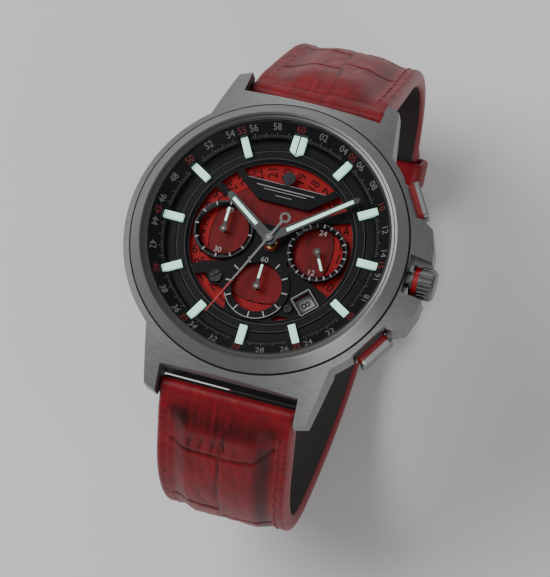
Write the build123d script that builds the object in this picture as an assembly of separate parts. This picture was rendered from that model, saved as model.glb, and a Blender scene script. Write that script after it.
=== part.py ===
from build123d import *
import math
import os

# Chronograph wristwatch on a buckled leather strap. Millimetres.
# Origin: centre of the case back's outer face, on the axis of the hands.
# +Z points out of the crystal, +Y to 12 o'clock, +X to 3 o'clock and the crown.

# ---- driving dimensions ----
case_r = 22.6
case_floor_z = 0.8
case_top_z = 6.5
case_rim_z = 8.35
case_bore_r = 17.65
bezel_r = 21.4
bezel_seat_r = 20.95
back_bore_r = 17.0
lug_gap = 22.0
slot_y = 22.6
lug_tip_y = 26.5
bar_y = 24.6
bar_z = 1.6
spring_bar_r = 0.75
stem_z = 4.4
crown_r = 2.5
crown_start_x = 22.35
crown_end_x = 26.0
pusher_angle = 31.5
pusher_w = 6.2
pusher_h = 3.0
movement_r = 15.0
plate_z = 3.6
dial_z = 6.0
dial_top_z = 6.4
dial_opening_r = 12.6
dial_ring_z = 6.8
index_in_r = 13.93
index_out_r = 17.03
index_w = 1.1
index_top_z = 7.6
subdial_offset = 7.5
subdial_in_r = 3.87
subdial_out_r = 4.6
flange_in_r = 16.15
flange_out_r = 18.38
crystal_r = 18.6
crystal_z = 9.5
crystal_top_z = 10.3
wheel_t = 0.14
running_gap = 0.03
strap_half = 11.0
strap_half_end = 10.0
keeper_w = 5.0
layer_gap = 0.35
tail_t = 2.2
buckle_inner_half = 10.6

centre = (0.0, 0.0)
counter_pos = (-subdial_offset, 0.0)
day_pos = (subdial_offset, 0.0)
seconds_pos = (0.0, -subdial_offset)


# ---- plain helpers ----
def disc(r, z0, z1, at=centre):
    return Pos(at[0], at[1], (z0 + z1) / 2) * Cylinder(r, z1 - z0)


def tube(r_out, r_in, z0, z1, at=centre):
    return disc(r_out, z0, z1, at) - disc(r_in, z0 - 1, z1 + 1, at)


def slab(points, z0, z1):
    face = make_face(Polyline(*points, close=True))
    return Pos(0, 0, z0) * extrude(face, z1 - z0)


def box_between(low, high):
    size = [high[i] - low[i] for i in range(3)]
    mid = [(high[i] + low[i]) / 2 for i in range(3)]
    return Pos(*mid) * Box(*size)


def spun(profile):
    """Turns a closed (radius, z) outline about the axis of the hands."""
    wire = Polyline(*[(r, 0, z) for r, z in profile], close=True)
    return revolve(make_face(wire), Axis.Z)


def polar(r, angle):
    a = math.radians(angle)
    return (r * math.cos(a), r * math.sin(a))


def beside(at, r, angle):
    x, y = polar(r, angle)
    return (at[0] + x, at[1] + y)


def pointing(angle):
    """Places a piece drawn along +Y so that it points at a clock angle."""
    return Rot(0, 0, -angle)


def save(name, *solids):
    loose = []
    for piece in solids:
        loose.extend(piece.solids())
    shape = loose[0] if len(loose) == 1 else Compound(children=loose)
    export_step(shape, "parts/" + name + ".step")


# ---- gears: straight-flanked teeth, thinned so that meshed pairs turn freely ----
def gear(module, teeth, z0, z1, at, phase):
    pitch_r = module * teeth / 2
    tip_r = pitch_r + 0.8 * module
    root_r = pitch_r - 1.05 * module
    step = 2 * math.pi / teeth
    points = []
    for i in range(teeth):
        a = phase + i * step
        for r, shift in ((root_r, -0.30), (tip_r, -0.12), (tip_r, 0.12), (root_r, 0.30)):
            angle = a + shift * step
            points.append((at[0] + r * math.cos(angle), at[1] + r * math.sin(angle)))
    return slab(points, z0, z1)


def mesh_phase(at_a, teeth_a, phase_a, at_b, teeth_b):
    """Tooth phase of wheel B that puts its gaps on wheel A's teeth."""
    line = math.atan2(at_b[1] - at_a[1], at_b[0] - at_a[0])
    past = (line - phase_a) * teeth_a / (2 * math.pi)
    return line + math.pi + (past + 0.5) * 2 * math.pi / teeth_b


def apex(at_a, at_b, from_a, from_b, side):
    """Third corner of a triangle on A and B, on the left (+1) or right (-1) of A to B."""
    dx = at_b[0] - at_a[0]
    dy = at_b[1] - at_a[1]
    d = math.hypot(dx, dy)
    along = (from_a**2 - from_b**2 + d**2) / (2 * d)
    off = side * math.sqrt(from_a**2 - along**2)
    return (at_a[0] + (along * dx - off * dy) / d, at_a[1] + (along * dy + off * dx) / d)


# ---- strap path: straight and round stretches, (length, turn in degrees) ----
upper_path = [(22, 0), (16, -30), (14, -45), (17, -50), (6, 0)]
lower_path = [(12, 0), (16, -31), (16, -50), (26, -27), (7, -15)]
upper_start_angle = -55
lower_start_angle = -57


def stations(start, start_angle, path):
    """Ends of each stretch as (length so far, y, z, angle)."""
    y, z = start
    angle = math.radians(start_angle)
    so_far = 0.0
    found = [(so_far, y, z, angle)]
    for length, turn in path:
        y, z, angle = step_along(y, z, angle, length, math.radians(turn))
        so_far += length
        found.append((so_far, y, z, angle))
    return found


def step_along(y, z, angle, length, turn):
    if abs(turn) < 1e-9:
        return y + length * math.cos(angle), z + length * math.sin(angle), angle
    radius = length / turn
    new = angle + turn
    dy = radius * (math.sin(new) - math.sin(angle))
    dz = radius * (math.cos(angle) - math.cos(new))
    return y + dy, z + dz, new


def place_at(start, start_angle, path, at):
    """Position and angle at a length along a path."""
    so_far, y, z, angle = stations(start, start_angle, [])[0]
    for length, turn in path:
        part = min(length, at - so_far)
        turned = math.radians(turn) * part / length
        y, z, angle = step_along(y, z, angle, part, turned)
        so_far += part
        if so_far >= at - 1e-9:
            break
    return y, z, angle


def cut_path(path, lengths):
    """The same path with extra breaks at the given lengths."""
    pieces = []
    so_far = 0.0
    for length, turn in path:
        stops = [s for s in lengths if so_far + 1e-6 < s < so_far + length - 1e-6]
        last = so_far
        for stop in stops + [so_far + length]:
            share = (stop - last) / length
            pieces.append((stop - last, turn * share))
            last = stop
        so_far += length
    return pieces


def ribbon(start, start_angle, path, inner, outer, half, side=1):
    """Band along a path; inner and outer give its faces' offsets at a length."""
    def offset(y, z, angle, n):
        return (side * (y - n * math.sin(angle)), z + n * math.cos(angle))

    def edge_line(layer):
        edges = []
        y, z, angle = start[0], start[1], math.radians(start_angle)
        so_far = 0.0
        for length, turn in path:
            a = offset(y, z, angle, layer(so_far))
            ym, zm, mid_angle = step_along(y, z, angle, length / 2, math.radians(turn) / 2)
            m = offset(ym, zm, mid_angle, layer(so_far + length / 2))
            y, z, angle = step_along(y, z, angle, length, math.radians(turn))
            so_far += length
            b = offset(y, z, angle, layer(so_far))
            if abs(turn) < 1e-9:
                edges.append(Line((0, *a), (0, *b)))
            else:
                edges.append(ThreePointArc((0, *a), (0, *m), (0, *b)))
        return edges

    outside = edge_line(outer)
    inside = edge_line(inner)
    ends = [Line(outside[0] @ 0, inside[0] @ 0), Line(outside[-1] @ 1, inside[-1] @ 1)]
    face = make_face(outside + inside + ends)
    return extrude(face, half, dir=(1, 0, 0), both=True)


def across(r, y, z, half):
    return Pos(0, y, z) * Rot(0, 90, 0) * Cylinder(r, 2 * half)


def local_block(y, z, angle, size, along, out):
    """Box in a strap's own directions: X across, then along and outward."""
    spin = Pos(0, y, z) * Rot(math.degrees(angle), 0, 0)
    return spin * Pos(0, along, out) * Box(*size)


os.makedirs("parts", exist_ok=True)

# ================= case =================
# one domed top runs over the rim, the lugs and the crown guards
lug_shoulder = (14.55, 17.45)
lug_tip = [(lug_gap / 2, lug_tip_y), (13.0, lug_tip_y - 0.8)]
lug_plan = []
for sx, sy in ((1, 1), (-1, 1), (-1, -1), (1, -1)):
    corner = lug_tip + [lug_shoulder]
    if sx * sy > 0:
        corner = corner[::-1]
    lug_plan.extend((sx * x, sy * y) for x, y in corner)
wall_top_z = 9.0
lug_block = slab(lug_plan, -0.4, wall_top_z)
lug_side = Polyline(
    (0, -18.5, case_floor_z),
    (0, -22.0, 0.2),
    (0, -25.4, -0.2),
    (0, -lug_tip_y - 0.1, 1.2),
    (0, -lug_tip_y - 0.1, wall_top_z),
    (0, lug_tip_y + 0.1, wall_top_z),
    (0, lug_tip_y + 0.1, 1.2),
    (0, 25.4, -0.2),
    (0, 22.0, 0.2),
    (0, 18.5, case_floor_z),
    close=True,
)
lug_block &= extrude(make_face(lug_side), 20, dir=(1, 0, 0), both=True)
case_wall = spun(
    [
        (0, case_floor_z),
        (20.6, case_floor_z),
        (22.3, 2.4),
        (case_r, 4.4),
        (case_r, wall_top_z),
        (0, wall_top_z),
    ]
)
guard_plan = [(20.0, 9.0), (21.7, 9.0), (23.5, 8.1), (24.6, 5.0), (24.8, 2.9), (20.0, 2.9)]
guard_half = slab(guard_plan, 1.6, wall_top_z)
dome_edge = (29.2, 3.6)
dome_face = make_face(
    [
        Line((bezel_seat_r, 0, case_top_z), (bezel_seat_r, 0, case_rim_z)),
        Line((bezel_seat_r, 0, case_rim_z), (21.5, 0, case_rim_z)),
        ThreePointArc((21.5, 0, case_rim_z), (25.1, 0, 6.25), (dome_edge[0], 0, dome_edge[1])),
        Polyline(
            (dome_edge[0], 0, dome_edge[1]),
            (dome_edge[0], 0, -1),
            (0, 0, -1),
            (0, 0, case_top_z),
            (bezel_seat_r, 0, case_top_z),
        ),
    ]
)
mid_case = case_wall + lug_block + guard_half + mirror(guard_half, Plane.XZ)
mid_case &= revolve(dome_face, Axis.Z)
slot_len = 8.0
for sy in (1, -1):
    mid_case -= Pos(0, sy * (slot_y + slot_len / 2), 3) * Box(lug_gap, slot_len, 12)
    mid_case -= across(3.1, sy * 24.8, 2.6, lug_gap / 2)
    mid_case -= across(0.4, sy * bar_y, bar_z, lug_gap / 2 + 1.0)
mid_case -= disc(case_bore_r, 1.95, 8)
mid_case -= disc(back_bore_r, 0, 2)
mid_case -= tube(17.95, 17.4, 0, 1.25)
mid_case -= box_between((21.6, -3.05, 0), (26, 3.05, 9))
mid_case -= Pos(20, 0, stem_z) * Rot(0, 90, 0) * Cylinder(1.3, 8)
pusher_frames = []
for sign in (1, -1):
    frame = Rot(0, 0, sign * pusher_angle) * Pos(0, 0, stem_z)
    pusher_frames.append(frame)
    mid_case -= frame * Pos(20, 0, 0) * Rot(0, 90, 0) * Cylinder(1.15, 8)
    mid_case -= frame * Pos(22.9, 0, 0) * Box(3, pusher_w + 0.4, pusher_h + 0.3)
    mid_case -= frame * Pos(23.75, 0, 2.5) * Box(3, pusher_w + 0.4, pusher_h + 3)
save("mid_case", mid_case)

gasket_ledge_z = 9.3
bezel = spun(
    [
        (17.42, case_top_z),
        (bezel_seat_r - 0.05, case_top_z),
        (bezel_seat_r - 0.05, case_rim_z + 0.05),
        (bezel_r, case_rim_z + 0.05),
        (bezel_r, case_rim_z + 0.15),
        (19.85, 10.12),
        (19.7, 10.23),
        (19.35, 10.13),
        (19.3, 10.04),
        (19.22, 10.09),
        (18.85, 9.98),
        (18.85, gasket_ledge_z),
        (18.42, gasket_ledge_z),
        (18.42, 8.7),
        (17.42, 7.28),
    ]
)
save("bezel", bezel)

crystal_bevel = 0.25
crystal = spun(
    [
        (0, crystal_z),
        (crystal_r, crystal_z),
        (crystal_r, crystal_top_z - crystal_bevel),
        (crystal_r - crystal_bevel, crystal_top_z),
        (0, crystal_top_z),
    ]
)
save("crystal", crystal)
crystal_gasket = spun(
    [
        (18.42, gasket_ledge_z),
        (18.85, gasket_ledge_z),
        (18.85, 9.9),
        (crystal_r, 9.9),
        (crystal_r, crystal_z),
        (18.42, crystal_z),
    ]
)
save("crystal_gasket", crystal_gasket)

# sloping ring under the crystal, notched for the outer ends of the hour markers
chapter_ring = spun(
    [
        (flange_in_r, dial_ring_z + 0.02),
        (17.35, dial_ring_z + 0.02),
        (17.35, 7.3),
        (flange_out_r, 8.75),
        (flange_out_r, 9.27),
        (flange_in_r + 0.15, 7.78),
        (flange_in_r, 7.6),
    ]
)
marker_notch_w = index_w + 0.6
twelve_notch_w = 2.7
for hour in range(12):
    notch_w = marker_notch_w if hour else twelve_notch_w
    notch = box_between((-notch_w / 2, flange_in_r - 1, 6), (notch_w / 2, index_out_r + 0.12, 9))
    chapter_ring -= pointing(30 * hour) * notch
save("chapter_ring", chapter_ring)

caseback = disc(18.6, 0, case_floor_z) + disc(back_bore_r - 0.05, case_floor_z, 1.9)
caseback -= disc(15.8, 1.0, 3)
for i in range(6):
    notch_at = polar(17.6, 60 * i + 30)
    caseback -= Pos(notch_at[0], notch_at[1], 0) * Rot(0, 0, 60 * i + 30) * Box(1.6, 2.6, 0.7)
save("caseback", caseback)
save("caseback_gasket", tube(17.9, 17.45, case_floor_z, 1.2))

movement_holder = tube(case_bore_r - 0.05, movement_r + 0.05, 2.0, dial_z)
movement_holder -= Pos(16, 0, stem_z) * Rot(0, 90, 0) * Cylinder(0.9, 8)
for frame in pusher_frames:
    movement_holder -= frame * Pos(17.0, 0, 0) * Rot(0, 90, 0) * Cylinder(1.2, 6)
save("movement_holder", movement_holder)

crown_tube = Pos(20.25, 0, stem_z) * Rot(0, 90, 0) * (Cylinder(1.3, 5.1) - Cylinder(0.55, 6))
crown_tube &= box_between((17.6, -3, 0), (22.8, 3, 8))
save("crown_tube", crown_tube)
pusher_tube = Pos(19.45, 0, 0) * Rot(0, 90, 0) * (Cylinder(1.15, 3.5) - Cylinder(0.78, 6))
save("pusher_tubes", *[frame * pusher_tube for frame in pusher_frames])

bars = []
for sy in (1, -1):
    bar = across(spring_bar_r, sy * bar_y, bar_z, lug_gap / 2 - 0.15)
    bar += across(0.38, sy * bar_y, bar_z, lug_gap / 2 + 0.8)
    bars.append(bar)
save("spring_bars", *bars)

# ================= crown and pushers =================
crown_mid_x = (crown_start_x + crown_end_x) / 2
crown = Pos(crown_mid_x, 0, stem_z) * Rot(0, 90, 0) * Cylinder(crown_r, crown_end_x - crown_start_x)
crown -= Pos(23.1, 0, stem_z) * Rot(0, 90, 0) * (Cylinder(crown_r + 1, 0.85) - Cylinder(crown_r - 0.2, 2))
crown = chamfer(crown.faces().sort_by(Axis.X)[-1].edges(), 0.45)
crown -= Pos(22.6, 0, stem_z) * Rot(0, 90, 0) * Cylinder(1.4, 2.6)
flute_count = 24
for i in range(flute_count):
    a = math.radians(360 / flute_count * i)
    flute = Pos(24.85, (crown_r + 0.12) * math.cos(a), stem_z + (crown_r + 0.12) * math.sin(a))
    crown -= flute * Rot(0, 90, 0) * Cylinder(0.26, 2.4)
crown -= Pos(24.4, 0, stem_z) * Rot(0, 90, 0) * Cylinder(0.45, 1.0)
save("crown", crown)

for name, frame in zip(("pusher_upper", "pusher_lower"), pusher_frames):
    plate = Pos(23.95, 0, 0) * Box(0.75, pusher_w, pusher_h)
    plate = fillet(plate.edges().filter_by(Axis.X), 0.7)
    plate = chamfer(plate.faces().sort_by(Axis.X)[-1].edges(), 0.2)
    neck = Pos(23.05, 0, 0) * Box(1.05, pusher_w - 0.5, pusher_h - 0.5)
    neck = fillet(neck.edges().filter_by(Axis.X), 0.6)
    rim = Pos(22.4, 0, 0) * Box(0.25, pusher_w, pusher_h)
    rim = fillet(rim.edges().filter_by(Axis.X), 0.7)
    stem = Pos(20.0, 0, 0) * Rot(0, 90, 0) * Cylinder(0.74, 5.2)
    head = Pos(17.4, 0, 0) * Rot(0, 90, 0) * Cylinder(1.0, 0.5)
    save(name, frame * (plate + neck + rim + stem + head))

stem = Pos((10.2 + 24.9) / 2, 0, stem_z) * Rot(0, 90, 0) * Cylinder(0.45, 24.9 - 10.2)
groove_x = 12.6
stem -= Pos(groove_x, 0, stem_z) * Rot(0, 90, 0) * (Cylinder(1, 0.6) - Cylinder(0.25, 2))
stem -= box_between((9, 0.32, 3), (11.9, 1, 6))
stem -= box_between((9, -1, 3), (11.9, -0.32, 6))
save("stem", stem)

clutch = Pos(10.9, 0, stem_z) * Rot(0, 90, 0) * Cylinder(0.62, 0.8)
clutch_hole = Pos(10.9, 0, stem_z) * Rot(0, 90, 0) * Cylinder(0.48, 2)
clutch_hole &= box_between((9, -0.35, 3), (13, 0.35, 6))
clutch -= clutch_hole
for i in range(12):
    a = math.radians(30 * i)
    clutch -= Pos(10.9, 0.68 * math.cos(a), stem_z + 0.68 * math.sin(a)) * Rot(0, 90, 0) * Cylinder(0.09, 2)
save("clutch_wheel", clutch)

# ================= wheel positions =================
fine = 0.12
third_pos = apex(seconds_pos, centre, fine * 34, 0.116 * 36, -1)
counter_idler_pos = apex(centre, counter_pos, fine * 34, 0.116 * 36, -1)
fifth_pos = beside(seconds_pos, fine * 30, 200)
rotor_pos = beside(fifth_pos, fine * 28, 160)
chrono_idler_pos = beside(centre, fine * 30, 5)
chrono_rotor_pos = beside(chrono_idler_pos, fine * 28, -50)
minute_wheel_pos = polar(3.0, 75)
day_idler_pos = apex(centre, day_pos, 4.0, 5.0, -1)
train_z = [2.0, 2.26, 2.52, 2.78, 3.04, 3.3]
motion_z = [4.2, 4.46, 4.72]
arbor_r = 0.15
bridge_low = 1.6
bridge_high = 1.9


def level(z):
    return z, z + wheel_t


def arbor(at, z0, z1, r=arbor_r):
    return disc(r, z0, z1, at)


# time train: rotor, fifth wheel, fourth (seconds) wheel, third wheel, centre wheel
fourth_phase = 0.0
third_wheel_phase = mesh_phase(seconds_pos, 8, fourth_phase, third_pos, 60)
centre_phase = mesh_phase(third_pos, 8, 0.1, centre, 64)
fourth_wheel = gear(fine, 50, *level(train_z[1]), seconds_pos, 0.0)
fourth_wheel += gear(fine, 8, train_z[2] - 0.02, train_z[2] + wheel_t, seconds_pos, fourth_phase)
fourth_wheel += arbor(seconds_pos, bridge_low, 7.42)
save("fourth_wheel", fourth_wheel)

fifth_pinion_phase = mesh_phase(seconds_pos, 50, 0.0, fifth_pos, 10)
fifth_wheel = gear(fine, 48, *level(train_z[0]), fifth_pos, 0.0)
fifth_wheel += gear(fine, 10, train_z[0] + wheel_t, train_z[1] + wheel_t, fifth_pos, fifth_pinion_phase)
fifth_wheel += arbor(fifth_pos, bridge_low, plate_z + 0.4)
save("fifth_wheel", fifth_wheel)

rotor = gear(fine, 8, *level(train_z[0]), rotor_pos, mesh_phase(fifth_pos, 48, 0.0, rotor_pos, 8))
rotor += arbor(rotor_pos, bridge_low, plate_z + 0.4, 0.12)
rotor += disc(0.65, 2.6, 3.4, rotor_pos)
save("rotor_time", rotor)

third_wheel = gear(fine, 60, *level(train_z[2]), third_pos, third_wheel_phase)
third_wheel += gear(0.116, 8, train_z[5] - 0.04, train_z[5] + wheel_t, third_pos, 0.1)
third_wheel += arbor(third_pos, bridge_low, plate_z + 0.3)
save("third_wheel", third_wheel)

centre_bore_r = 0.18
cannon_r = 0.34
cannon_phase = 0.0
centre_wheel = gear(0.116, 64, *level(train_z[5]), centre, centre_phase)
centre_wheel += disc(cannon_r, train_z[5], 8.6)
centre_wheel += gear(0.125, 12, *level(motion_z[0]), centre, cannon_phase)
centre_wheel -= disc(centre_bore_r, 0, 12)
save("centre_wheel", centre_wheel)

minute_stud_r = 0.3
minute_pinion_phase = 0.0
minute_wheel_phase = mesh_phase(centre, 12, cannon_phase, minute_wheel_pos, 36)
minute_wheel = gear(0.125, 36, *level(motion_z[0]), minute_wheel_pos, minute_wheel_phase)
pinion_z = (motion_z[0] + wheel_t, motion_z[1] + wheel_t)
minute_wheel += gear(fine, 10, *pinion_z, minute_wheel_pos, minute_pinion_phase)
minute_wheel -= disc(minute_stud_r + running_gap, 0, 9, minute_wheel_pos)
save("minute_wheel", minute_wheel)

hour_tube_r = 0.55
hour_wheel_phase = mesh_phase(minute_wheel_pos, 10, minute_pinion_phase, centre, 40)
hour_wheel = gear(fine, 40, *level(motion_z[1]), centre, hour_wheel_phase)
hour_gear_phase = 0.0
hour_wheel += gear(0.1, 20, motion_z[2] - 0.02, motion_z[2] + wheel_t, centre, hour_gear_phase)
hour_wheel += disc(hour_tube_r, motion_z[1], 8.15)
hour_wheel -= disc(cannon_r + running_gap, 0, 12)
save("hour_wheel", hour_wheel)

idler_phase = mesh_phase(centre, 20, hour_gear_phase, day_idler_pos, 60)
day_idler = gear(0.1, 60, *level(motion_z[2]), day_idler_pos, idler_phase)
day_idler -= disc(minute_stud_r + running_gap, 0, 9, day_idler_pos)
save("day_idler", day_idler)
day_wheel_phase = mesh_phase(day_idler_pos, 60, idler_phase, day_pos, 40)
day_wheel = gear(0.1, 40, *level(motion_z[2]), day_pos, day_wheel_phase)
day_wheel += arbor(day_pos, plate_z + 0.2, 7.42)
save("day_wheel", day_wheel)

# chronograph train: rotor, idler, chronograph wheel, counter idler, counter wheel
chrono_wheel = gear(fine, 50, *level(train_z[1]), centre, 0.0)
chrono_wheel += gear(fine, 8, train_z[3] - 0.02, train_z[3] + wheel_t, centre, 0.0)
chrono_wheel += arbor(centre, bridge_low, 9.0)
save("chrono_wheel", chrono_wheel)

chrono_idler = gear(fine, 48, *level(train_z[0]), chrono_idler_pos, 0.0)
chrono_pinion_phase = mesh_phase(centre, 50, 0.0, chrono_idler_pos, 10)
pinion_z = (train_z[0] + wheel_t, train_z[1] + wheel_t)
chrono_idler += gear(fine, 10, *pinion_z, chrono_idler_pos, chrono_pinion_phase)
chrono_idler -= disc(0.25 + running_gap, 0, 9, chrono_idler_pos)
save("chrono_idler", chrono_idler)

chrono_rotor_phase = mesh_phase(chrono_idler_pos, 48, 0.0, chrono_rotor_pos, 8)
chrono_rotor = gear(fine, 8, *level(train_z[0]), chrono_rotor_pos, chrono_rotor_phase)
chrono_rotor += arbor(chrono_rotor_pos, bridge_low, plate_z + 0.4, 0.12)
chrono_rotor += disc(0.65, 2.75, 3.2, chrono_rotor_pos)
save("rotor_chrono", chrono_rotor)

counter_idler_phase = mesh_phase(centre, 8, 0.0, counter_idler_pos, 60)
counter_idler = gear(fine, 60, *level(train_z[3]), counter_idler_pos, counter_idler_phase)
pinion_z = (train_z[3] + wheel_t, train_z[4] + wheel_t)
counter_idler += gear(0.116, 8, *pinion_z, counter_idler_pos, 0.1)
counter_idler += arbor(counter_idler_pos, bridge_low, plate_z + 0.3, 0.12)
save("counter_idler", counter_idler)
counter_wheel_phase = mesh_phase(counter_idler_pos, 8, 0.1, counter_pos, 64)
counter_wheel = gear(0.116, 64, *level(train_z[4]), counter_pos, counter_wheel_phase)
counter_wheel += arbor(counter_pos, bridge_low, 7.42)
save("counter_wheel", counter_wheel)

# ================= movement plates =================
battery_pos = (4.2, 9.0)
battery_r = 4.75
date_in_r = 9.75
main_plate = disc(movement_r, plate_z, 5.45)
main_plate -= disc(13.35, 5.0, 6)
main_plate -= disc(date_in_r + 0.1, 4.66, 6)
main_plate -= disc(5.6, 4.1, 6)
main_plate -= disc(battery_r + 0.15, 3, 4.55, battery_pos)
main_plate += disc(minute_stud_r, 4.0, 4.8, minute_wheel_pos)
main_plate += disc(minute_stud_r, 4.0, 5.0, day_idler_pos)
pillar_angles = (115, 160, 215, 300, 50)
for angle in pillar_angles:
    main_plate += disc(0.6, 4.5, 5.5, polar(8.8, angle))
train_arbors = [seconds_pos, counter_pos, fifth_pos, third_pos]
train_arbors += [counter_idler_pos, rotor_pos, chrono_rotor_pos]
for at in train_arbors + [day_pos]:
    main_plate -= disc(arbor_r + running_gap, plate_z - 1, 4.66, at)
main_plate -= disc(cannon_r + running_gap, 0, 6)
main_plate -= Pos(13.4, 0, stem_z) * Rot(0, 90, 0) * Cylinder(0.5, 7)
main_plate -= box_between((10.35, -0.75, plate_z - 1), (11.45, 0.75, 5.02))
for sign in (1, -1):
    main_plate -= Rot(0, 0, sign * pusher_angle) * Pos(15.5, 0, stem_z) * Box(2.4, 3.4, 2.4)
save("main_plate", main_plate)

bridge_pillars = [(-12.2, 2.5), (-9.3, -8.2), (12.2, -2.0), (-3.0, 10.5), (11.4, 5.0)]
train_bridge = disc(13.2, bridge_low, bridge_high)
train_bridge -= disc(battery_r + 0.15, 0, 3, battery_pos)
for at in bridge_pillars:
    train_bridge += disc(0.75, bridge_high, plate_z, at)
    train_bridge -= disc(0.4, 0, plate_z + 1, at)
for at in train_arbors + [centre]:
    train_bridge -= disc(arbor_r + running_gap, 0, 3, at)
train_bridge += disc(0.25, bridge_low, train_z[1] + wheel_t, chrono_idler_pos)
save("train_bridge", train_bridge)

screws = []
for at in bridge_pillars:
    screw = disc(0.38, 1.4, plate_z - 0.05, at)
    screw += disc(0.7, 1.3, bridge_low, at)
    screw -= Pos(at[0], at[1], 1.3) * Box(2, 0.2, 0.3)
    screws.append(screw)
save("movement_screws", *screws)

battery = disc(battery_r, 1.85, 4.45, battery_pos)
battery = fillet(battery.edges(), 0.25)
save("battery", battery)

circuit = disc(14.4, 1.95, 2.1) - disc(13.4, 0, 3) - disc(battery_r + 0.15, 0, 3, battery_pos)
save("circuit_board", circuit)


def coil(at, angle, length):
    core = Box(length + 2.4, 0.8, 0.5)
    winding = Rot(0, 90, 0) * Cylinder(0.75, length)
    return Pos(at[0], at[1], 2.78) * Rot(0, 0, angle) * (core + winding)


save("coils", coil((-9.0, 8.3), 45, 7.0), coil((8.8, -8.8), 45, 7.0))
stators = []
for at in (rotor_pos, chrono_rotor_pos):
    stators.append(Pos(at[0], at[1], 2.95) * (Box(3.6, 2.4, 0.3) - Cylinder(0.85, 2)))
save("stators", *stators)

# ================= calendar =================
date_ring = disc(13.1, 5.05, 5.4) - disc(date_in_r, 5, 6)
for i in range(31):
    tooth = Rot(0, 0, 360 / 31 * (i + 0.5)) * Pos(date_in_r - 0.1, 0, 5.16) * Box(0.5, 0.8, 0.22)
    date_ring += tooth
save("date_ring", date_ring)
calendar_plate = disc(9.6, 5.5, 5.62) - disc(0.9, 5, 6)
for at in (seconds_pos, counter_pos, day_pos):
    calendar_plate -= disc(0.3, 5, 6, at)
save("calendar_plate", calendar_plate)

# ================= dial =================
ring_edge = disc(dial_opening_r, dial_z - 1, dial_top_z + 1)
# openings of the skeleton dial, each an outline round part of the date ring or the movement
top_window = [(-6.6, 9.3), (6.3, 9.3), (7.3, 10.3), (7.3, 14), (-7.3, 14), (-7.3, 10.3)]
middle_window = [(-11.5, 8.2), (-9.5, 11.0), (-6.0, 7.9), (-3.8, 6.1), (4.2, 6.1)]
middle_window += [(6.0, 7.9), (9.5, 11.0), (11.2, 8.4), (2.1, 2.6), (-2.1, 2.6)]
left_window = [(-14, 8.4), (-10.0, 6.0), (-7.5, 5.0), (-3.6, 3.0)]
left_window += [(-3.4, -2.4), (-6.0, -4.8), (-9.0, -5.4), (-14, -8.4)]
right_window = [(13.5, 7.6), (10.6, 5.8), (8.0, 4.9), (3.4, 3.0)]
right_window += [(3.4, -3.0), (7.5, -4.8), (10.0, -5.8), (14, -8.4)]
low_left_window = [(-10.2, -7.9), (-8.4, -7.2), (-5.2, -8.9), (-4.3, -9.3)]
low_left_window += [(-3.9, -11.9), (-5.0, -13.5), (-9.5, -10.5)]
low_right_window = [(3.6, -11.5), (4.6, -10.9), (5.4, -11.0), (6.4, -10.9), (6.8, -13), (3.6, -13)]
windows = [top_window, middle_window, left_window, right_window, low_left_window, low_right_window]
dial_plate = disc(case_bore_r - 0.1, dial_z, dial_top_z)
for window in windows:
    dial_plate -= slab(window, dial_z - 1, dial_top_z + 1) & ring_edge
for at in (counter_pos, day_pos):
    dial_plate += disc(subdial_out_r + 0.1, dial_z, dial_top_z, at)
    dial_plate -= disc(subdial_in_r, 0, 9, at)
dial_plate += disc(5.1, dial_z, dial_top_z + 0.35, seconds_pos)
dial_plate -= disc(subdial_in_r + 0.03, 0, 9, seconds_pos)
screw_post = (-6.6, -7.4)
small_post = (5.6, -9.6)
dial_plate += disc(1.3, dial_z, dial_top_z, screw_post)
dial_plate += disc(0.95, dial_z, dial_top_z, small_post)
date_angle = 45
date_at = (7.9, -8.1)
date_hole = Pos(date_at[0], date_at[1], 0) * Rot(0, 0, date_angle) * Box(2.5, 2.5, 30)
dial_plate -= date_hole
dial_plate -= disc(1.5, 0, 9)
save("dial_plate", dial_plate)

dial_ring = spun(
    [
        (dial_opening_r, dial_top_z),
        (17.3, dial_top_z),
        (17.3, dial_ring_z),
        (16.1, dial_ring_z),
        (15.9, dial_ring_z - 0.2),
        (14.7, dial_ring_z - 0.2),
        (14.5, dial_ring_z),
        (13.2, dial_ring_z),
    ]
)
dial_ring -= date_hole
save("dial_ring", dial_ring)

rings = []
for at in (counter_pos, day_pos):
    ring = tube(subdial_out_r, subdial_in_r, dial_top_z, 7.0, at)
    ring = chamfer(ring.faces().sort_by(Axis.Z)[-1].edges().sort_by(SortBy.RADIUS)[0], 0.4)
    rings.append(ring)
save("subdial_rings", *rings)

date_frame = Pos(date_at[0], date_at[1], 0) * Rot(0, 0, date_angle) * (
    box_between((-1.62, -1.62, dial_top_z), (1.62, 1.62, 7.0)) - Box(2.5, 2.5, 30)
)
date_frame -= dial_ring
save("date_frame", date_frame)

indices = []
for hour in range(1, 12):
    marker = box_between(
        (-index_w / 2, index_in_r, dial_ring_z),
        (index_w / 2, index_out_r, index_top_z),
    )
    marker += box_between((-0.3, 14.9, dial_ring_z - 0.2), (0.3, 15.7, dial_ring_z + 0.1))
    indices.append(pointing(30 * hour) * marker)
for sx in (1, -1):
    outline = [(0.06, 14.0), (1.06, 14.55), (1.06, index_out_r), (0.06, index_out_r)]
    indices.append(slab([(sx * x, y) for x, y in outline], dial_ring_z, index_top_z))
save("hour_indices", *indices)

plate_outline = [(-6.3, 9.2), (6.3, 9.2), (7.4, 10.3), (8.3, 9.4), (6.0, 7.6), (5.2, 6.9)]
plate_outline += [(4.2, 6.1), (-3.8, 6.1), (-5.0, 7.0), (-6.0, 7.7), (-8.3, 9.4), (-7.4, 10.3)]
nameplate = slab(plate_outline, dial_top_z, 6.75)
nameplate &= disc(12.3, 6, 8)
save("nameplate", nameplate)

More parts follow.
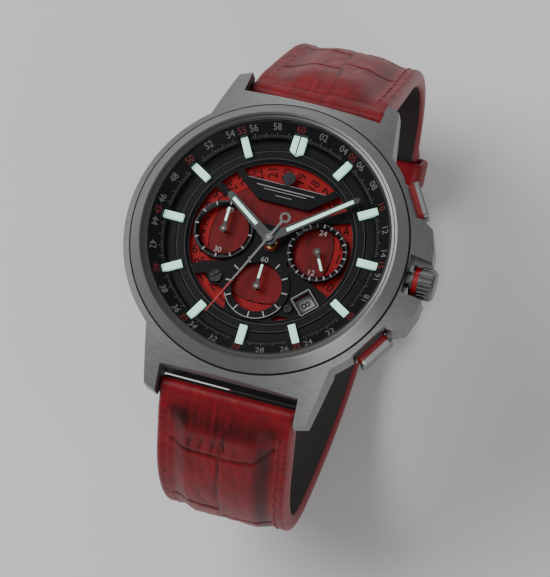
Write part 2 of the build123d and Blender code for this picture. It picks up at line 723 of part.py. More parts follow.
emblem = disc(1.0, dial_top_z, 6.85, (0, 10.35))
emblem += box_between((-0.35, 9.0, dial_top_z + 0.35), (0.35, 10.0, 6.95))
emblem -= nameplate
studs = [emblem]
for at, r in ((screw_post, 0.95), (small_post, 0.65)):
    stud = disc(r, dial_top_z, 6.85, at)
    stud -= Pos(at[0], at[1], 6.85) * Rot(0, 0, 40) * Box(2.2, 0.28, 0.3)
    studs.append(stud)
save("dial_studs", *studs)

# ================= hands, drawn along +Y =================
lume_w = 0.55


def hand(length, base_w, tip_w, hub_r, z0, z1, tail):
    shoulder = length - tip_w / 2
    right_side = [(base_w / 2, 0), (tip_w / 2, shoulder)]
    left_side = [(-tip_w / 2, shoulder), (-base_w / 2, 0)]
    blade = slab(right_side + [(0, length)] + left_side, z0, z1)
    blade += disc(hub_r, z0, z1)
    if tail:
        blade += box_between((-base_w / 2, -tail, z0), (base_w / 2, 0, z1))
    return blade


hour_hand = hand(10.0, 1.6, 1.2, 1.15, 7.95, 8.15, 0) - disc(hour_tube_r, 7, 9)
hour_hand -= box_between((-lume_w / 2, 3.1, 8.07), (lume_w / 2, 8.7, 9))
save("hour_hand", pointing(-55.7) * hour_hand)
minute_hand = hand(15.15, 1.4, 0.9, 1.15, 8.4, 8.6, 0) - disc(cannon_r, 8, 9)
minute_hand -= box_between((-lume_w / 2, 2.9, 8.52), (lume_w / 2, 14.0, 9))
save("minute_hand", pointing(51.5) * minute_hand)
chrono_hand = hand(15.0, 0.42, 0.16, 0.6, 8.83, 8.98, 3.3)
chrono_hand += tube(0.85, 0.5, 8.83, 8.98, (0, -3.9))
save("seconds_hand", pointing(204.0) * (chrono_hand - disc(arbor_r, 8, 10)))
for name, at, angle, length in (
    ("small_seconds_hand", seconds_pos, 0, 3.6),
    ("counter_hand", counter_pos, 0, 3.6),
    ("day_hand", day_pos, 151, 3.3),
):
    small = hand(length, 0.5, 0.5, 0.55, 7.27, 7.42, 0) - disc(arbor_r, 7, 8)
    save(name, Pos(at[0], at[1], 0) * pointing(angle) * small)

# ================= strap =================
edge_t0 = 1.9
edge_t1 = 1.2


def half_thickness(s):
    return edge_t0 + (edge_t1 - edge_t0) * min(max(s / 36, 0), 1)


def pad_height(s):
    return 1.1 * min(max(1 - (s - 6) / 54, 0), 1)


def outer_face(s):
    return half_thickness(s)


def inner_face(s):
    return -half_thickness(s)


def padded_face(s):
    return half_thickness(s) + pad_height(s)


bar_at = (bar_y, bar_z)
taper = Polyline(
    (-strap_half + 0.1, 0, 12),
    (strap_half - 0.1, 0, 12),
    (strap_half - 0.1, 0, -8),
    (strap_half_end, 0, -44),
    (strap_half_end, 0, -70),
    (-strap_half_end, 0, -70),
    (-strap_half_end, 0, -44),
    (-strap_half + 0.1, 0, -8),
    close=True,
)
taper_block = extrude(make_face(taper), 80, dir=(0, 1, 0), both=True)
hole_r = spring_bar_r + 0.05
split_upper = cut_path(upper_path, [6, 11, 36, 44])
upper = ribbon(bar_at, upper_start_angle, split_upper, inner_face, outer_face, strap_half)
upper += across(edge_t0, bar_y, bar_z, strap_half)
pad_path = cut_path([(22, 0), (16, -30), (14, -45)], [6, 11, 36])
upper += ribbon(bar_at, upper_start_angle, pad_path, lambda s: 0, padded_face, 7.8)
upper &= taper_block
buckle_y, buckle_z, buckle_angle = place_at(bar_at, upper_start_angle, upper_path, 75)
buckle_bar_r = 0.6
upper += across(edge_t1, buckle_y, buckle_z, strap_half_end)
upper -= across(hole_r, bar_y, bar_z, strap_half + 1)
upper -= across(buckle_bar_r + 0.02, buckle_y, buckle_z, strap_half)
upper -= box_between((-1.5, buckle_y - 3, buckle_z - 3), (1.5, buckle_y + 2.2, buckle_z + 3))
save("strap_upper", upper)

# the long piece: inner level, a step out over the buckle bar, then back over the short piece
split_lower = cut_path(lower_path, [6, 36])
lower = ribbon(bar_at, lower_start_angle, split_lower, inner_face, outer_face, strap_half, -1)
lower += across(edge_t0, -bar_y, bar_z, strap_half)
pad_lower = cut_path([(12, 0), (16, -31), (16, -50)], [6, 36])
lower += ribbon(bar_at, lower_start_angle, pad_lower, lambda s: 0, padded_face, 7.8, -1)
lower &= taper_block
end_y, end_z, end_angle = place_at(bar_at, lower_start_angle, lower_path, 77)
tail_out = edge_t1 + layer_gap
flat_y = -end_y - 0.01
step_y = buckle_y - 11.4
step_end = buckle_y - 4.8
tail_mid_z = buckle_z - tail_out - tail_t / 2
step_face = make_face(
    Polyline(
        (0, flat_y, end_z + edge_t1),
        (0, flat_y, end_z - edge_t1),
        (0, step_y, end_z - edge_t1),
        (0, step_end, tail_mid_z - tail_t / 2),
        (0, buckle_y, tail_mid_z - tail_t / 2),
        (0, buckle_y, tail_mid_z + tail_t / 2),
        (0, step_end, tail_mid_z + tail_t / 2),
        (0, step_y + 0.6, end_z + edge_t1),
        close=True,
    )
)
lower += extrude(step_face, strap_half_end, dir=(1, 0, 0), both=True)


def tail_inner(s):
    return tail_out


def tail_outer(s):
    return tail_out + tail_t


tail_start = 51.0
ty, tz, tangle = place_at(bar_at, upper_start_angle, upper_path, tail_start)
tail_path = [(1, -45 / 14), (17, -50), (6, 0)]
tail_angle = math.degrees(tangle)
tail = ribbon((ty, tz), tail_angle, tail_path, tail_inner, tail_outer, strap_half_end)
lower += tail
hole_spacing = 6.5
slot_y0 = buckle_y - 11.6
tongue_slot_len = 10.5
slot_low = (-1.3, slot_y0, buckle_z - 8)
slot_high = (1.3, slot_y0 + tongue_slot_len, buckle_z + 8)
lower -= box_between(slot_low, slot_high)
for k in (1, 2, 3):
    hy, hz, hangle = place_at(bar_at, lower_start_angle, lower_path, 77 - hole_spacing * k)
    lower -= Pos(0, -hy, hz) * Rot(-math.degrees(hangle), 0, 0) * Cylinder(0.85, 6)
for k in (0, 1):
    hy, hz, hangle = place_at(bar_at, upper_start_angle, upper_path, 74 - hole_spacing * (k + 1))
    out = tail_out + tail_t / 2
    hole_at = Pos(0, hy - out * math.sin(hangle), hz + out * math.cos(hangle))
    lower -= hole_at * Rot(math.degrees(hangle), 0, 0) * Cylinder(0.85, 2.6)
lower -= across(hole_r, -bar_y, bar_z, strap_half + 1)
save("strap_lower", lower)

# keepers: leather loops round both layers
stack_high = tail_out + tail_t + 0.35


def keeper(at, low_gap):
    y, z, angle = place_at(bar_at, upper_start_angle, upper_path, at)
    low = -(edge_t1 + low_gap)
    mid = (low + stack_high) / 2
    height = stack_high - low
    outer_size = (2 * strap_half_end + 3.2, keeper_w, height + 2.4)
    inner_size = (2 * strap_half_end + 0.6, keeper_w + 2, height)
    outer = local_block(y, z, angle, outer_size, 0, mid)
    inner = local_block(y, z, angle, inner_size, 0, mid)
    return outer - inner


save("fixed_keeper", keeper(71.1, 0.03))
save("free_keeper", keeper(60.0, 0.35))

# buckle: frame outside the strap, tongue from the bar over the far bar
frame_len = 14.0
frame_half = buckle_inner_half + 1.9
far_y = buckle_y - frame_len + 2.0
plate_top = end_z - edge_t1 - 0.35
near_y = buckle_y - frame_len
over = 9.0
buckle_frame = box_between(
    (-frame_half, near_y, buckle_z - 3.2),
    (frame_half, buckle_y + 1.2, buckle_z + 1.4),
)
buckle_frame -= box_between(
    (-buckle_inner_half, far_y, buckle_z - over),
    (buckle_inner_half, buckle_y + over, buckle_z + over),
)
buckle_frame -= box_between(
    (-buckle_inner_half, far_y - over, plate_top),
    (buckle_inner_half, far_y + 1, buckle_z + over),
)
buckle_frame -= box_between(
    (-frame_half - 1, near_y - 1, buckle_z + 0.2),
    (frame_half + 1, buckle_y - 4.5, buckle_z + over),
)
buckle_frame -= across(buckle_bar_r, buckle_y, buckle_z, frame_half + 1)
save("buckle_frame", buckle_frame)
save("buckle_bar", across(buckle_bar_r, buckle_y, buckle_z, frame_half - 0.3))

tongue_tip_y = buckle_y - frame_len - 0.6
tongue_face = make_face(
    Polyline(
        (0, buckle_y, buckle_z - 0.9),
        (0, buckle_y, buckle_z + 0.9),
        (0, buckle_y - 1.2, buckle_z + 0.5),
        (0, buckle_y - 6.0, buckle_z - 1.0),
        (0, far_y, buckle_z - 3.25),
        (0, tongue_tip_y, buckle_z - 3.25),
        (0, tongue_tip_y, buckle_z - 4.15),
        (0, far_y + 0.4, buckle_z - 4.3),
        (0, buckle_y - 6.4, buckle_z - 2.3),
        close=True,
    )
)
tongue = extrude(tongue_face, 0.85, dir=(1, 0, 0), both=True)
tongue += across(1.15, buckle_y, buckle_z, 0.85)
tongue -= across(buckle_bar_r + 0.04, buckle_y, buckle_z, 3)
save("buckle_tongue", tongue)
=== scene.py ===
import bmesh
import bpy
import math
from mathutils import Matrix, Vector, noise


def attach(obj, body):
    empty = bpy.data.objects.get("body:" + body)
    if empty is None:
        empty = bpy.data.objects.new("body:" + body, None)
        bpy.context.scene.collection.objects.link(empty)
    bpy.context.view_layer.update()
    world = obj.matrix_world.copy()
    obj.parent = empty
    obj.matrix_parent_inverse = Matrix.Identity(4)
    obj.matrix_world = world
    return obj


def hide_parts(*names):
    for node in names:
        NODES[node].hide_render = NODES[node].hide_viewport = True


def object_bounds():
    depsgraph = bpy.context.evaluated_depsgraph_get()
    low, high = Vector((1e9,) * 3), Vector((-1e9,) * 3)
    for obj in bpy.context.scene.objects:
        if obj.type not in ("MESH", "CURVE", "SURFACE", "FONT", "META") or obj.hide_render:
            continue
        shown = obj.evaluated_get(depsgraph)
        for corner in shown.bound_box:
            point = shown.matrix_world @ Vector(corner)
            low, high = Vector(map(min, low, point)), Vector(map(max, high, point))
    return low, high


# Chronograph wristwatch: materials, dial printing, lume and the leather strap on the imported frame.
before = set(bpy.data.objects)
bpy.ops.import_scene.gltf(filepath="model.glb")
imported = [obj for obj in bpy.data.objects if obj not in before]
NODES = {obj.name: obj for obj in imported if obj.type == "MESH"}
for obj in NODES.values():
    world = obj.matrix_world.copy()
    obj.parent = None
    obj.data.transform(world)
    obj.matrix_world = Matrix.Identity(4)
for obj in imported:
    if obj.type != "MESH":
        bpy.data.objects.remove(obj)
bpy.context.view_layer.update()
MM = 0.001


# ---------- materials ----------
class Graph:
    """A material with short calls for adding and linking its nodes."""

    def __init__(self, name):
        self.material = bpy.data.materials.new(name)
        self.material.use_nodes = True
        self.tree = self.material.node_tree
        self.tree.nodes.clear()
        self.shader = self.tree.nodes.new("ShaderNodeBsdfPrincipled")
        output = self.tree.nodes.new("ShaderNodeOutputMaterial")
        self.link(self.shader.outputs[0], output.inputs[0])
        self.coordinates = self.tree.nodes.new("ShaderNodeTexCoord").outputs["Object"]

    def link(self, a, b):
        self.tree.links.new(a, b)

    def add(self, kind, settings=(), **inputs):
        node = self.tree.nodes.new(kind)
        for key, value in dict(settings).items():
            setattr(node, key, value)
        for key, value in inputs.items():
            socket = node.inputs[int(key[1:])] if key[0] == "i" and key[1:].isdigit() else node.inputs[key]
            if isinstance(value, bpy.types.NodeSocket):
                self.link(value, socket)
            else:
                socket.default_value = value
        return node

    def set(self, **values):
        for key, value in values.items():
            socket = self.shader.inputs[key.replace("_", " ")]
            if isinstance(value, bpy.types.NodeSocket):
                self.link(value, socket)
            else:
                socket.default_value = value

    def math(self, operation, a, b=0.0, c=0.0):
        return self.add("ShaderNodeMath", {"operation": operation}, i0=a, i1=b, i2=c).outputs[0]

    def scaled(self, scale):
        return self.add("ShaderNodeMapping", i0=self.coordinates, i3=scale).outputs[0]

    def noise(self, vector, scale, detail=3.0, rough=0.5):
        node = self.add("ShaderNodeTexNoise", Scale=scale, Detail=detail, Roughness=rough)
        self.link(vector, node.inputs["Vector"])
        return node.outputs[0]

    def ramp(self, value, low, high, colour_low, colour_high):
        """Colour that runs from one to the other while value runs from low to high."""
        share = self.add("ShaderNodeMapRange", i0=value, i1=low, i2=high).outputs[0]
        mix = self.add("ShaderNodeMix", {"data_type": "RGBA"})
        self.link(share, mix.inputs[0])
        mix.inputs[6].default_value = (*colour_low, 1)
        mix.inputs[7].default_value = (*colour_high, 1)
        return mix.outputs[2]

    def range(self, value, low, high, out_low, out_high):
        return self.add("ShaderNodeMapRange", i0=value, i1=low, i2=high, i3=out_low, i4=out_high).outputs[0]

    def bump(self, height, strength, distance_mm):
        node = self.add("ShaderNodeBump", Strength=strength, Distance=distance_mm * MM, Height=height)
        self.link(node.outputs[0], self.shader.inputs["Normal"])

    def axis(self, letter):
        split = self.add("ShaderNodeSeparateXYZ", i0=self.coordinates)
        return split.outputs["XYZ".index(letter)]

    def radius(self):
        flat = self.add("ShaderNodeVectorMath", {"operation": "MULTIPLY"}, i0=self.coordinates, i1=(1, 1, 0))
        return self.add("ShaderNodeVectorMath", {"operation": "LENGTH"}, i0=flat.outputs[0]).outputs["Value"]


def plain(name, colour, metallic=0.0, roughness=0.5, mottle=0.06, scale=900.0, bump=0.0):
    """Even finish with slight mottling, so that no surface is perfectly flat in tone."""
    g = Graph(name)
    cloud = g.noise(g.coordinates, scale)
    dark = [c * (1 - mottle) for c in colour]
    light = [min(1.0, c * (1 + mottle)) for c in colour]
    g.set(Base_Color=g.ramp(cloud, 0.3, 0.7, dark, light), Metallic=metallic, Roughness=roughness)
    if bump:
        g.bump(cloud, bump, 0.02)
    return g


def brushed(name, colour, direction, roughness=0.34, strength=0.25):
    """Metal with fine straight lines; direction is the axis that the lines run along."""
    g = Graph(name)
    squeeze = [2500.0, 2500.0, 2500.0]
    squeeze["XYZ".index(direction)] = 60.0
    lines = g.noise(g.scaled(squeeze), 1.0, 4.0, 0.6)
    cloud = g.noise(g.coordinates, 150.0)
    tone = g.math("MULTIPLY_ADD", lines, 0.75, g.math("MULTIPLY", cloud, 0.25))
    dark = [c * 0.84 for c in colour]
    light = [min(1.0, c * 1.14) for c in colour]
    g.set(Base_Color=g.ramp(tone, 0.3, 0.7, dark, light), Metallic=1.0, Roughness=roughness)
    g.bump(lines, strength, 0.01)
    return g


def turned(name, colour, roughness=0.3, strength=0.3):
    """Metal with fine rings about the axis of the hands."""
    g = Graph(name)
    r = g.radius()
    rings = g.add("ShaderNodeTexNoise", {"noise_dimensions": "1D"}, Scale=9000.0, Detail=3.0, W=r).outputs[0]
    cloud = g.noise(g.coordinates, 200.0)
    tone = g.math("MULTIPLY_ADD", rings, 0.7, g.math("MULTIPLY", cloud, 0.3))
    dark = [c * 0.86 for c in colour]
    light = [min(1.0, c * 1.12) for c in colour]
    g.set(Base_Color=g.ramp(tone, 0.3, 0.7, dark, light), Metallic=1.0, Roughness=roughness)
    g.bump(rings, strength, 0.008)
    return g


def shade(g, value):
    """Multiply a finish's colour by a grey value."""
    mix = g.add("ShaderNodeMix", {"data_type": "RGBA", "blend_type": "MULTIPLY"})
    mix.inputs[0].default_value = 1.0
    g.link(g.shader.inputs["Base Color"].links[0].from_socket, mix.inputs[6])
    g.link(value, mix.inputs[7])
    g.set(Base_Color=mix.outputs[2])


TITANIUM = (0.27, 0.27, 0.267)
BEZEL_LIP_R = 19.72
BEZEL_SHADOW_LINE_Z = 8.52
CASE_SHADOW_LINE_R = 21.58
SHADOW_LINE_FADE = 0.06
RED_LACQUER = (0.30, 0.003, 0.008)
case_metal = brushed("case_brushed", TITANIUM, "X", 0.46, 0.22)
case_r = case_metal.radius()
# painted shadow line: the case is darkened inside this radius, where its flat rim meets the bezel and would
# catch the light
shade(case_metal, case_metal.range(case_r, CASE_SHADOW_LINE_R * MM, (CASE_SHADOW_LINE_R + SHADOW_LINE_FADE) * MM, 0.06, 1.0))
bezel_metal = turned("bezel_brushed", TITANIUM, 0.36, 0.35)
# painted shade: the flat lip is darkened to hold down its reflection of the lights, and the joint to the case
# gets a painted shadow line
lip = bezel_metal.range(bezel_metal.radius(), (BEZEL_LIP_R - 0.05) * MM, BEZEL_LIP_R * MM, 0.42, 1.0)
seam = bezel_metal.range(bezel_metal.axis("Z"), BEZEL_SHADOW_LINE_Z * MM, (BEZEL_SHADOW_LINE_Z + SHADOW_LINE_FADE) * MM, 0.08, 1.0)
shade(bezel_metal, bezel_metal.math("MULTIPLY", lip, seam))
polished = plain("polished_metal", (0.5, 0.5, 0.5), 1.0, 0.14, 0.03)
hand_metal = plain("hand_metal", (0.06, 0.06, 0.062), 1.0, 0.38, 0.05)
ring_metal = turned("ring_metal", (0.03, 0.03, 0.032), 0.35, 0.2)
bar_steel = plain("spring_bar_steel", (0.03, 0.03, 0.033), 1.0, 0.35, 0.06)
steel = plain("turned_steel", (0.4, 0.4, 0.4), 1.0, 0.3, 0.06)
nickel = turned("nickel_plate", (0.45, 0.44, 0.42), 0.3, 0.35)
brass = turned("wheel_brass", (0.6, 0.44, 0.2), 0.28, 0.3)
black = plain("dial_black", (0.005, 0.005, 0.006), 0.0, 0.5, 0.2, 2500.0, 0.12)
black.set(Specular_IOR_Level=0.12)
ring_black = turned("ring_black", (0.007, 0.007, 0.008), 0.45, 0.12)
ring_black.set(Metallic=0.0, Specular_IOR_Level=0.12)
gasket = plain("gasket_rubber", (0.015, 0.015, 0.015), 0.0, 0.6, 0.1)
holder = plain("holder_plastic", (0.5, 0.5, 0.48), 0.0, 0.5, 0.05)
copper = plain("coil_copper", (0.42, 0.16, 0.05), 0.6, 0.35, 0.2, 4000.0, 0.5)
board = plain("board_green", (0.02, 0.13, 0.05), 0.0, 0.35, 0.15)
lume = plain("lume", (0.58, 0.92, 0.76), 0.0, 0.55, 0.03)
lume.set(Emission_Color=(0.50, 1.0, 0.76, 1), Emission_Strength=0.55)
print_grey = plain("print_grey", (0.34, 0.34, 0.34), 0.0, 0.5, 0.04)
print_soft = plain("print_soft", (0.16, 0.16, 0.16), 0.0, 0.5, 0.04)
print_dim = plain("print_dim", (0.06, 0.06, 0.06), 0.0, 0.5, 0.04)
print_red = plain("print_red", (0.17, 0.008, 0.012), 0.0, 0.5, 0.05)
print_black = plain("print_black", (0.006, 0.001, 0.001), 0.0, 0.6, 0.05)
print_black.set(Specular_IOR_Level=0.1)
date_enamel = plain("date_red", (0.30, 0.001, 0.003), 0.0, 0.5, 0.10, 1200.0, 0.1)
date_enamel.set(Specular_IOR_Level=0.2)
window_tint = plain("date_window_tint", (0.30, 0.31, 0.30), 0.0, 0.5, 0.08)
floor_paint = plain("floor_paint", (0.72, 0.72, 0.72), 0.0, 0.85, 0.01, 5.0)

sun = Graph("calendar_red")
sun_rays = sun.noise(sun.scaled((700.0, 90.0, 90.0)), 1.0, 3.0)
sun.set(
    Base_Color=sun.ramp(sun_rays, 0.3, 0.75, (0.09, 0.0006, 0.0015), (0.21, 0.001, 0.0025)),
    Roughness=0.5,
    Specular_IOR_Level=0.2,
)

clear = Graph("crystal_clear")
clear.set(Base_Color=(0.02, 0.02, 0.02, 1), Roughness=0.02, Specular_IOR_Level=0.0, Alpha=0.01)

# the crown's lacquered groove is found by its distance along the stem
CROWN_GROOVE = (22.68, 23.52)
crown_metal = Graph("crown_metal")
crown_x = crown_metal.axis("X")
in_groove = crown_metal.math(
    "MULTIPLY",
    crown_metal.math("GREATER_THAN", crown_x, CROWN_GROOVE[0] * MM),
    crown_metal.math("LESS_THAN", crown_x, CROWN_GROOVE[1] * MM),
)
crown_metal.set(
    Base_Color=crown_metal.ramp(in_groove, 0, 1, (0.17, 0.17, 0.168), RED_LACQUER),
    Metallic=crown_metal.range(in_groove, 0, 1, 1.0, 0.0),
    Roughness=0.28,
)

PUSHER_ANGLE = 31.5
PUSHER_NECK = (22.53, 23.57)


def pusher_metal(name, angle):
    """Polished metal with red lacquer round the neck, found by distance along the pusher."""
    g = Graph(name)
    a = math.radians(angle)
    way = (math.cos(a), math.sin(a), 0)
    along = g.add("ShaderNodeVectorMath", {"operation": "DOT_PRODUCT"}, i0=g.coordinates, i1=way)
    distance = along.outputs["Value"]
    past = g.math("GREATER_THAN", distance, PUSHER_NECK[0] * MM)
    short = g.math("LESS_THAN", distance, PUSHER_NECK[1] * MM)
    neck = g.math("MULTIPLY", past, short)
    g.set(
        Base_Color=g.ramp(neck, 0, 1, (0.24, 0.24, 0.24), RED_LACQUER),
        Metallic=g.range(neck, 0, 1, 1.0, 0.0),
        Roughness=0.3,
    )
    return g


# the long seconds hand is red past this distance from its centre
RED_TIP_R = 8.8
seconds_paint = Graph("seconds_hand_paint")
far = seconds_paint.math("GREATER_THAN", seconds_paint.radius(), RED_TIP_R * MM)
seconds_paint.set(
    Base_Color=seconds_paint.ramp(far, 0, 1, (0.13, 0.13, 0.13), (0.34, 0.004, 0.008)),
    Metallic=seconds_paint.range(far, 0, 1, 1.0, 0.0),
    Roughness=0.3,
)

finish = {
    "mid_case": case_metal,
    "bezel": bezel_metal,
    "caseback": turned("caseback_metal", (0.32, 0.32, 0.315)),
    "crystal": clear,
    "crown": crown_metal,
    "pusher_upper": pusher_metal("pusher_upper_metal", PUSHER_ANGLE),
    "pusher_lower": pusher_metal("pusher_lower_metal", -PUSHER_ANGLE),
    "buckle_frame": brushed("buckle_brushed", (0.32, 0.32, 0.315), "X"),
    "buckle_tongue": polished,
    "chapter_ring": ring_black,
    "dial_ring": ring_black,
    "dial_plate": black,
    "nameplate": black,
    "date_ring": date_enamel,
    "calendar_plate": sun,
    "hour_indices": lume,
    "subdial_rings": ring_metal,
    "date_frame": ring_metal,
    "dial_studs": ring_metal,
    "spring_bars": bar_steel,
    "movement_holder": holder,
    "coils": copper,
    "circuit_board": board,
    "main_plate": nickel,
    "train_bridge": nickel,
    "seconds_hand": seconds_paint,
}


def finish_by_kind(name):
    """Finish of a node that has none of its own in the table."""
    if "gasket" in name:
        return gasket
    if name.endswith("_hand"):
        return hand_metal
    if "wheel" in name or "idler" in name or name.startswith("rotor"):
        return brass
    return steel


for name, node in NODES.items():
    look = finish.get(name) or finish_by_kind(name)
    node.data.materials.clear()
    node.data.materials.append(look.material)


# ---------- small mesh helpers ----------
def make_piece(name, points, faces, material, body, smooth=False):
    """A mesh object from points in millimetres, riding on a body."""
    mesh = bpy.data.meshes.new(name)
    mesh.from_pydata([[c * MM for c in p] for p in points], [], faces)
    mesh.materials.append(material.material)
    mesh.update()
    if smooth:
        mesh.polygons.foreach_set("use_smooth", [True] * len(mesh.polygons))
    piece = bpy.data.objects.new(name, mesh)
    bpy.context.scene.collection.objects.link(piece)
    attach(piece, body)
    return piece


class Batch:
    """Collects many small shapes into one mesh."""

    def __init__(self):
        self.points = []
        self.faces = []

    def take(self, points, faces, place):
        base = len(self.points)
        self.points.extend(tuple(place @ Vector(p)) for p in points)
        self.faces.extend([base + i for i in face] for face in faces)

    def bar(self, place, x0, x1, y0, y1, z0, z1):
        corners = [(x, y, z) for z in (z0, z1) for y in (y0, y1) for x in (x0, x1)]
        faces = [(0, 2, 3, 1), (4, 5, 7, 6), (0, 1, 5, 4), (2, 6, 7, 3), (0, 4, 6, 2), (1, 3, 7, 5)]
        self.take(corners, faces, place)

    def ring(self, place, r_in, r_out, z0, z1, a0=0.0, a1=360.0, step=4.0):
        count = max(2, int(abs(a1 - a0) / step))
        turn = [math.radians(a0 + (a1 - a0) * i / count) for i in range(count + 1)]
        points = []
        for a in turn:
            for r, z in ((r_in, z0), (r_out, z0), (r_out, z1), (r_in, z1)):
                points.append((r * math.cos(a), r * math.sin(a), z))
        faces = []
        for i in range(count):
            a, b = 4 * i, 4 * (i + 1)
            faces += [(a + k, a + (k + 1) % 4, b + (k + 1) % 4, b + k) for k in range(4)]
        if abs(a1 - a0) < 360:
            faces += [(3, 2, 1, 0), tuple(4 * count + k for k in range(4))]
        self.take(points, faces, place)

    def done(self, name, material, body):
        return make_piece(name, self.points, self.faces, material, body)


glyph_store = {}


def glyphs(text, height, width=1.0, thickness=0.02):
    """Points and faces of a line of figures, centred on the origin, millimetres."""
    if text not in glyph_store:
        curve = bpy.data.curves.new("figures", "FONT")
        curve.body = text
        curve.size = 1.0
        curve.align_x = "CENTER"
        curve.resolution_u = 3
        holder_object = bpy.data.objects.new("figures", curve)
        bpy.context.scene.collection.objects.link(holder_object)
        bpy.context.view_layer.update()
        graph = bpy.context.evaluated_depsgraph_get()
        flat = bpy.data.meshes.new_from_object(holder_object.evaluated_get(graph))
        points = [tuple(v.co) for v in flat.vertices]
        faces = [tuple(p.vertices) for p in flat.polygons]
        bpy.data.objects.remove(holder_object)
        bpy.data.meshes.remove(flat)
        low = min(p[1] for p in points)
        high = max(p[1] for p in points)
        mid_x = (min(p[0] for p in points) + max(p[0] for p in points)) / 2
        tall = high - low
        points = [((x - mid_x) / tall, (y - (low + high) / 2) / tall, 0) for x, y, _ in points]
        glyph_store[text] = (points, faces)
    points, faces = glyph_store[text]
    sized = [(x * height * width, y * height, thickness) for x, y, _ in points]
    return sized, faces


def upright(x, y, z, angle=0.0):
    """A place on a flat face, turned by an angle about +Z."""
    return Matrix.Translation((x, y, z)) @ Matrix.Rotation(math.radians(angle), 4, "Z")


def around(radius, z, clock, flip=False):
    """A place at a clock angle with +Y pointing outward, or inward when flipped."""
    a = math.radians(90 - clock)
    turn = -clock + (180 if flip else 0)
    return upright(radius * math.cos(a), radius * math.sin(a), z, turn)


# ---------- sloping ring: minute figures and track ----------
CONE_IN = Vector((16.3, 7.78))
CONE_OUT = Vector((18.38, 9.27))
CONE_TILT = math.atan2(CONE_OUT.y - CONE_IN.y, CONE_OUT.x - CONE_IN.x)


def cone_z(r):
    """Height of the sloping ring at a radius."""
    return CONE_IN.y + (r - CONE_IN.x) * math.tan(CONE_TILT)


def on_cone(r, clock, inward=False):
    """A place on the sloping ring with +Y up the slope, or down it for inward figures."""
    tilt = -CONE_TILT if inward else CONE_TILT
    return around(r, cone_z(r) + 0.015, clock, inward) @ Matrix.Rotation(tilt, 4, "X")


FIGURE_R = 17.78
FIGURE_HEIGHT = 1.15
minute_figures = Batch()
fives = Batch()
for minute in range(1, 61):
    five = minute % 5 == 0
    if minute % 2 and not five:
        continue
    clock = minute * 6.0
    place = on_cone(FIGURE_R, clock, 90 < clock < 270)
    points, faces = glyphs(f"{minute:02d}", FIGURE_HEIGHT, 0.85, 0.01)
    (fives if five else minute_figures).take(points, faces, place)
minute_figures.done("minute_figures", print_soft, "case")
fives.done("five_minute_figures", print_red, "case")

TRACK_IN = 16.36
TRACK_GAP = 0.62
track = Batch()
for i in range(300):
    minute = i / 5
    # the track stops short of each hour marker
    if abs((minute + 2.5) % 5 - 2.5) < TRACK_GAP:
        continue
    length = 0.8 if i % 5 == 0 else 0.42
    track.bar(on_cone(TRACK_IN, minute * 6), -0.028, 0.028, 0.0, length, -0.01, 0.01)
track.done("minute_track", print_soft, "case")

fine_rings = Batch()
fine_rings.ring(upright(0, 0, 0), 14.42, 14.48, 6.79, 6.815)
fine_rings.ring(upright(0, 0, 0), 13.2, 13.26, 6.79, 6.815)
fine_rings.ring(upright(0, 0, 0), 12.62, 12.68, 6.4, 6.43)
fine_rings.done("dial_ring_lines", print_dim, "case")

# ---------- sub-dials ----------
SUBDIAL_R = 7.5
TICK_IN = 3.98
TICK_OUT = 4.55
RING_TOP_Z = 6.99
PLATE_TOP_Z = 6.74
subdial_print = Batch()
subdial_marks = Batch()
for x, y, count in ((-SUBDIAL_R, 0.0, 12), (SUBDIAL_R, 0.0, 24)):
    for i in range(count):
        wide = 0.1 if i % (count // 12) == 0 else 0.06
        place = upright(x, y, 0, -360 / count * i)
        subdial_marks.bar(place, -wide, wide, TICK_IN, TICK_OUT, RING_TOP_Z, RING_TOP_Z + 0.04)
for i in range(12):
    place = upright(0, -SUBDIAL_R, 0, -30 * i)
    if i != 0:
        subdial_marks.bar(place, -0.09, 0.09, 4.0, 4.9, PLATE_TOP_Z, PLATE_TOP_Z + 0.04)
subdial_marks.ring(upright(0, -SUBDIAL_R, 0), 4.92, 5.02, PLATE_TOP_Z, PLATE_TOP_Z + 0.04, 205, 335)
for text, x, y, z in (
    ("30", -SUBDIAL_R, -3.2, 6.55),
    ("12", SUBDIAL_R, -3.2, 6.55),
    ("24", SUBDIAL_R, 3.25, 6.55),
    ("60", -SUBDIAL_R, 3.3, 6.55),
    ("60", 0.0, -3.05, 6.78),
):
    points, faces = glyphs(text, 0.85)
    subdial_print.take(points, faces, upright(x, y, z))
subdial_marks.done("subdial_marks", print_grey, "case")
subdial_print.done("subdial_figures", print_grey, "case")

# ---------- name plate: plain pinstripes ----------
stripes = Batch()
for y, half_length, half_stripe in ((8.35, 4.6, 0.06), (7.9, 3.4, 0.04), (7.2, 1.3, 0.04), (9.16, 6.2, 0.03)):
    place = upright(0, y, 0)
    stripes.bar(place, -half_length, half_length, -half_stripe, half_stripe, PLATE_TOP_Z, PLATE_TOP_Z + 0.05)
stripes.done("nameplate_stripes", print_grey, "case")

# ---------- date figures ----------
dates = Batch()
DATE_STEP = 360 / 31
DATE_R = 11.3
DATE_Z = 5.4
DATE_HEIGHT = 1.45
SHOWN_DAY = 8
SHOWN_ANGLE = -45.7
WINDOW_X = 7.9
WINDOW_Y = -8.1
for day in range(1, 32):
    angle = SHOWN_ANGLE + (day - SHOWN_DAY) * DATE_STEP
    a = math.radians(angle)
    points, faces = glyphs(str(day), DATE_HEIGHT, 0.95)
    dates.take(points, faces, upright(DATE_R * math.cos(a), DATE_R * math.sin(a), DATE_Z, angle))
dates.done("date_figures", print_black, "calendar")
tint = Batch()
tint.bar(upright(WINDOW_X, WINDOW_Y, 0, 45), -1.24, 1.24, -1.24, 1.24, DATE_Z + 0.002, DATE_Z + 0.01)
tint.done("date_window_tint", window_tint, "case")
window_line = Batch()
for turn in (45, 135, 225, 315):
    window_line.bar(upright(WINDOW_X, WINDOW_Y, 0, turn), -1.6, 1.6, 1.50, 1.6, RING_TOP_Z, RING_TOP_Z + 0.03)
window_line.done("date_window_line", print_grey, "case")

